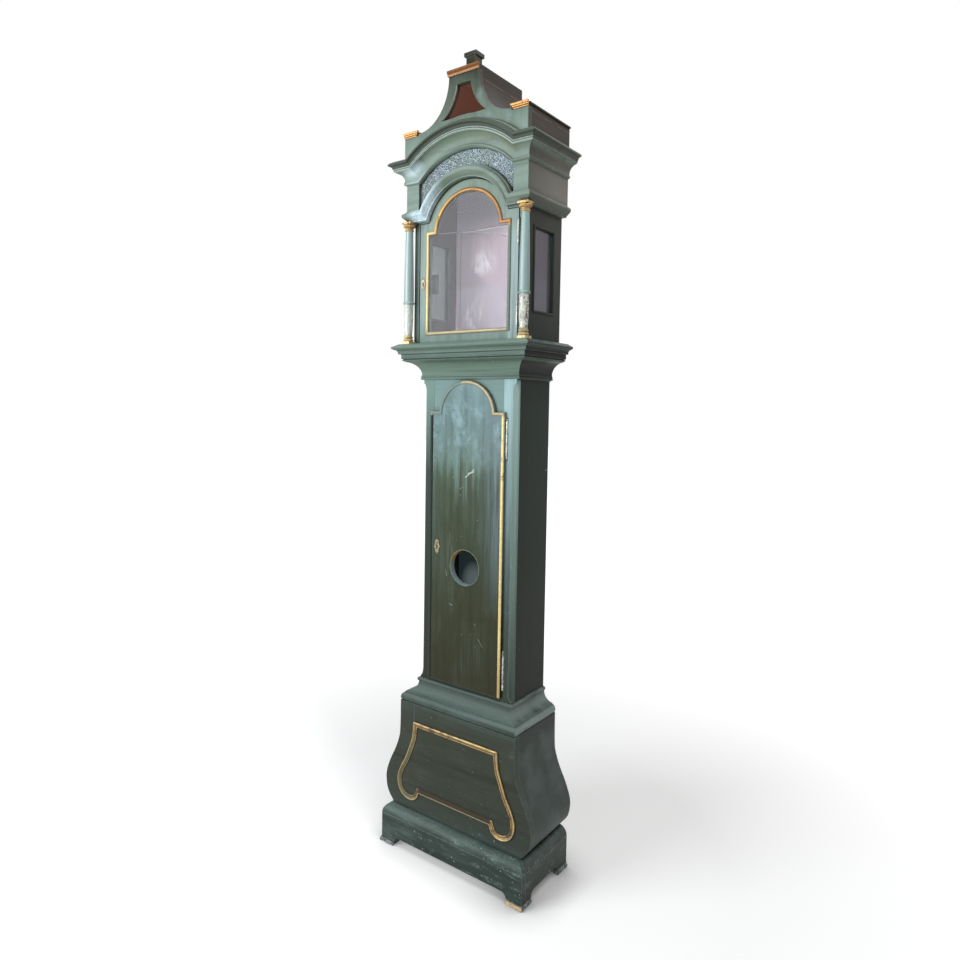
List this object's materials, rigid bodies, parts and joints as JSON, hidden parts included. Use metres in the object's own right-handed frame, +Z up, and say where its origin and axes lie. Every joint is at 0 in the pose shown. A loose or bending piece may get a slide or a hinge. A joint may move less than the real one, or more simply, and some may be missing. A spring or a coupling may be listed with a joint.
{
  "type": "longcase clock",
  "caption": "Tall painted clock case with a swelling base on bracket feet, an arched trunk door with a round hole, and a glazed arched hood under a concave pediment.",
  "frame": {"origin": "on the floor, below the middle of the case's overall width and depth", "axes": "+X to the clock's left as it faces the viewer, that is the viewer's right; +Y to the back; +Z up"},
  "size_m": [0.551, 0.264, 2.439],
  "materials": {
    "green_paint": "aged green paint over wood, chipped on the edges",
    "dark_paint": "darkened brown-black paint on the roof",
    "gilding": "worn gilding over yellow ground",
    "bare_wood": "unpainted pine, aged",
    "foot_wood": "bare worn wood, grey-tan",
    "silver_fret": "silvered carved wood over a dark ground",
    "brass": "aged brass",
    "iron": "dark forged iron",
    "glass": "old clear window glass, slightly dusty"
  },
  "bodies": {
    "case": {"foot_pads": "foot_wood", "plinth_front": "green_paint", "plinth_sides": "green_paint", "plinth_corner_blocks": "bare_wood", "plinth_moulding": "green_paint", "base_floor": "bare_wood", "base_front": "green_paint", "base_sides": "green_paint", "base_panel_moulding": "gilding", "base_top_frame": "bare_wood", "base_top_moulding": "green_paint", "backboard": "bare_wood", "backboard_wings": "bare_wood", "trunk_sides": "green_paint", "trunk_stile_left": "green_paint", "trunk_stile_right": "green_paint", "trunk_top_rail": "green_paint", "trunk_bottom_rail": "green_paint", "waist_cornice": "green_paint", "hood_runners": "bare_wood", "seat_board": "bare_wood", "trunk_hinge_case_leaves": "brass", "trunk_hinge_pins": "brass", "trunk_hinge_case_screws": "brass"},
    "trunk_door": {"trunk_door_panel": "green_paint", "trunk_door_bead": "gilding", "trunk_door_hinge_leaves": "brass", "trunk_door_hinge_screws": "brass", "trunk_door_lock": "iron", "trunk_door_escutcheon": "brass"},
    "trunk_lock_bolt": {"trunk_lock_bolt": "brass"},
    "hood": {"hood_base_frame": "green_paint", "hood_side_left": "green_paint", "hood_side_right": "green_paint", "hood_back_rails": "bare_wood", "hood_head_board": "green_paint", "hood_top_board": "bare_wood", "hood_arch_moulding": "green_paint", "hood_frieze": "green_paint", "fret_panel": "silver_fret", "hood_cornice": "green_paint", "side_window_glass": "glass", "side_window_beads": "green_paint", "column_shafts": "green_paint", "column_capitals": "gilding", "column_bases": "gilding", "pediment_board": "green_paint", "pediment_back_board": "bare_wood", "roof_boards": "dark_paint", "side_box_boards": "dark_paint", "gilt_caps": "gilding", "finial": "green_paint", "hood_hinge_case_leaves": "brass"},
    "hood_door": {"hood_door_frame": "green_paint", "hood_door_bead": "gilding", "hood_door_glass": "glass", "hood_door_hinge_leaves": "brass", "hood_door_lock": "iron", "hood_door_escutcheon": "brass"},
    "hood_lock_bolt": {"hood_lock_bolt": "brass"}
  },
  "joints": [
    {"name": "trunk_door_hinge", "type": "hinge", "parent": "case", "child": "trunk_door", "pos_m": [0.1413, -0.05215, 0.974], "axis": [0, 0, 1], "range_deg": [0, 105]},
    {"name": "trunk_bolt_slide", "type": "slide", "parent": "trunk_door", "child": "trunk_lock_bolt", "axis": [-1, 0, 0], "range_m": [0, 0.012]},
    {"name": "hood_slide", "type": "slide", "parent": "case", "child": "hood", "axis": [0, -1, 0], "range_m": [0, 0.16]},
    {"name": "hood_door_hinge", "type": "hinge", "parent": "hood", "child": "hood_door", "pos_m": [0.18125, -0.0728, 1.784], "axis": [0, 0, 1], "range_deg": [0, 100]},
    {"name": "hood_bolt_slide", "type": "slide", "parent": "hood_door", "child": "hood_lock_bolt", "axis": [-1, 0, 0], "range_m": [0, 0.008]}
  ]
}
